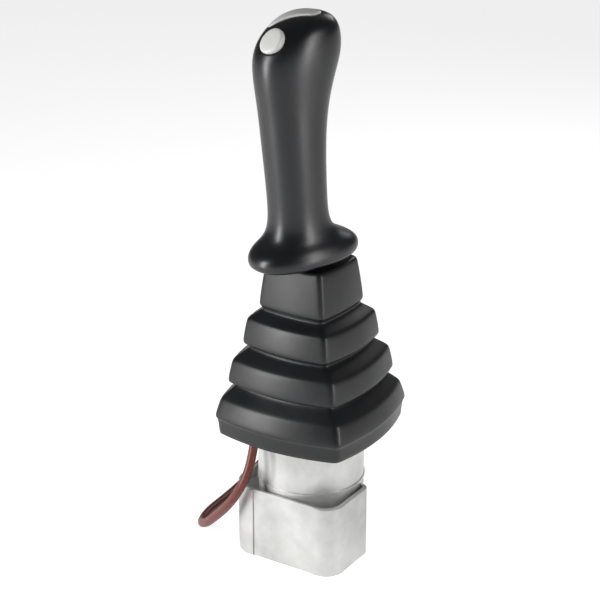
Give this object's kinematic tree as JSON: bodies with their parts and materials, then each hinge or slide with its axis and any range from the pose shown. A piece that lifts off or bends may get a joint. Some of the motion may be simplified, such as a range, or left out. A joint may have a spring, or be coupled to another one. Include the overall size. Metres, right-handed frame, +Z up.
{
  "type": "hydraulic pilot joystick valve",
  "caption": "Pilot valve with an upright joystick: moulded grip on a bellows boot, square flange, cast and turned body with plungers, spools and a signal cable.",
  "frame": {"origin": "centre of the valve body's base face, under the lever's pivot", "axes": "+Z up along the valve body and lever, -Y towards the block's flat face, +X to the right of that face"},
  "size_m": [0.1473, 0.1783, 0.3628],
  "materials": {
    "cast_aluminium": "bright, fine cast below, turned above",
    "flange_steel": "plated",
    "steel": "plated",
    "polished_steel": "ground and polished",
    "spring_steel": "drawn wire",
    "bronze": "turned",
    "brass": "turned",
    "seal_rubber": "smooth",
    "boot_rubber": "satin",
    "grip_plastic": "satin",
    "grey_plastic": "satin",
    "switch_plastic": "matt",
    "cable_jacket": "smooth",
    "connector_plastic": "matt"
  },
  "bodies": {
    "valve": {"bellows_boot": "boot_rubber", "bush_front": "bronze", "bush_left": "bronze", "bush_rear": "bronze", "bush_right": "bronze", "bush_seals": "seal_rubber", "cable_coil": "cable_jacket", "cable_connector": "connector_plastic", "cable_grommet": "seal_rubber", "cable_tail": "cable_jacket", "control_spring_front": "spring_steel", "control_spring_left": "spring_steel", "control_spring_rear": "spring_steel", "control_spring_right": "spring_steel", "flange_screws": "steel", "gallery_plugs": "steel", "joint_base": "steel", "mounting_flange": "flange_steel", "plunger_wipers": "seal_rubber", "return_spring_front": "spring_steel", "return_spring_left": "spring_steel", "return_spring_rear": "spring_steel", "return_spring_right": "spring_steel", "signal_cable": "cable_jacket", "valve_body": "cast_aluminium"},
    "cross": {"joint_cross": "steel", "joint_pins": "steel"},
    "lever": {"joint_yoke": "steel", "actuating_disc": "steel", "lock_nut": "steel", "lever_rod": "steel", "jam_nut": "steel", "handle_insert": "brass", "grip_left_shell": "grip_plastic", "grip_right_shell": "grip_plastic", "thumb_switch": "switch_plastic", "rocker_switch": "switch_plastic", "rocker_pin": "steel"},
    "button": {"thumb_button": "grey_plastic"},
    "rocker": {"crest_rocker": "grey_plastic"},
    "plunger_set_right": {"plunger_right": "polished_steel", "spring_seat_right": "steel"},
    "spool_set_right": {"spool_right": "polished_steel"},
    "plunger_set_rear": {"plunger_rear": "polished_steel", "spring_seat_rear": "steel"},
    "spool_set_rear": {"spool_rear": "polished_steel"},
    "plunger_set_left": {"plunger_left": "polished_steel", "spring_seat_left": "steel"},
    "spool_set_left": {"spool_left": "polished_steel"},
    "plunger_set_front": {"plunger_front": "polished_steel", "spring_seat_front": "steel"},
    "spool_set_front": {"spool_front": "polished_steel"}
  },
  "joints": [
    {"name": "tilt_x", "type": "hinge", "parent": "valve", "child": "cross", "pos_m": [0, 0, 0.117], "axis": [1, 0, 0], "range_deg": [-18, 18], "stiffness_Nm_per_rad": 12, "deforming": ["bellows_boot", "return_spring_front", "control_spring_front", "return_spring_rear", "control_spring_rear"]},
    {"name": "tilt_y", "type": "hinge", "parent": "cross", "child": "lever", "pos_m": [0, 0, 0.117], "axis": [0, 1, 0], "range_deg": [-18, 18], "stiffness_Nm_per_rad": 12, "deforming": ["return_spring_left", "control_spring_left", "return_spring_right", "control_spring_right"]},
    {"name": "plunge_right", "type": "slide", "parent": "valve", "child": "plunger_set_right", "axis": [0, 0, 1], "range_m": [-0.0076, 0.0076]},
    {"name": "spool_right", "type": "slide", "parent": "valve", "child": "spool_set_right", "axis": [0, 0, 1], "range_m": [-0.001, 0.001]},
    {"name": "plunge_rear", "type": "slide", "parent": "valve", "child": "plunger_set_rear", "axis": [0, 0, 1], "range_m": [-0.0076, 0.0076]},
    {"name": "spool_rear", "type": "slide", "parent": "valve", "child": "spool_set_rear", "axis": [0, 0, 1], "range_m": [-0.001, 0.001]},
    {"name": "plunge_left", "type": "slide", "parent": "valve", "child": "plunger_set_left", "axis": [0, 0, 1], "range_m": [-0.0076, 0.0076]},
    {"name": "spool_left", "type": "slide", "parent": "valve", "child": "spool_set_left", "axis": [0, 0, 1], "range_m": [-0.001, 0.001]},
    {"name": "plunge_front", "type": "slide", "parent": "valve", "child": "plunger_set_front", "axis": [0, 0, 1], "range_m": [-0.0076, 0.0076]},
    {"name": "spool_front", "type": "slide", "parent": "valve", "child": "spool_set_front", "axis": [0, 0, 1], "range_m": [-0.001, 0.001]},
    {"name": "press_button", "type": "slide", "parent": "lever", "child": "button", "axis": [0.2745, 0.7152, -0.6428], "range_m": [0, 0.002], "stiffness_N_per_m": 600},
    {"name": "rock_crest", "type": "hinge", "parent": "lever", "child": "rocker", "pos_m": [-0.00603, -0.00958, 0.3554], "axis": [-0.6559, 0.7545, 0.0218], "range_deg": [-4, 4], "stiffness_Nm_per_rad": 0.1}
  ],
  "couplings": [
    {"joint": "plunge_right", "follows": "tilt_y", "m_per_rad": -0.02355},
    {"joint": "spool_right", "follows": "tilt_y", "m_per_rad": -0.0029},
    {"joint": "plunge_rear", "follows": "tilt_x", "m_per_rad": 0.02355},
    {"joint": "spool_rear", "follows": "tilt_x", "m_per_rad": 0.0029},
    {"joint": "plunge_left", "follows": "tilt_y", "m_per_rad": 0.02355},
    {"joint": "spool_left", "follows": "tilt_y", "m_per_rad": 0.0029},
    {"joint": "plunge_front", "follows": "tilt_x", "m_per_rad": -0.02355},
    {"joint": "spool_front", "follows": "tilt_x", "m_per_rad": -0.0029}
  ]
}
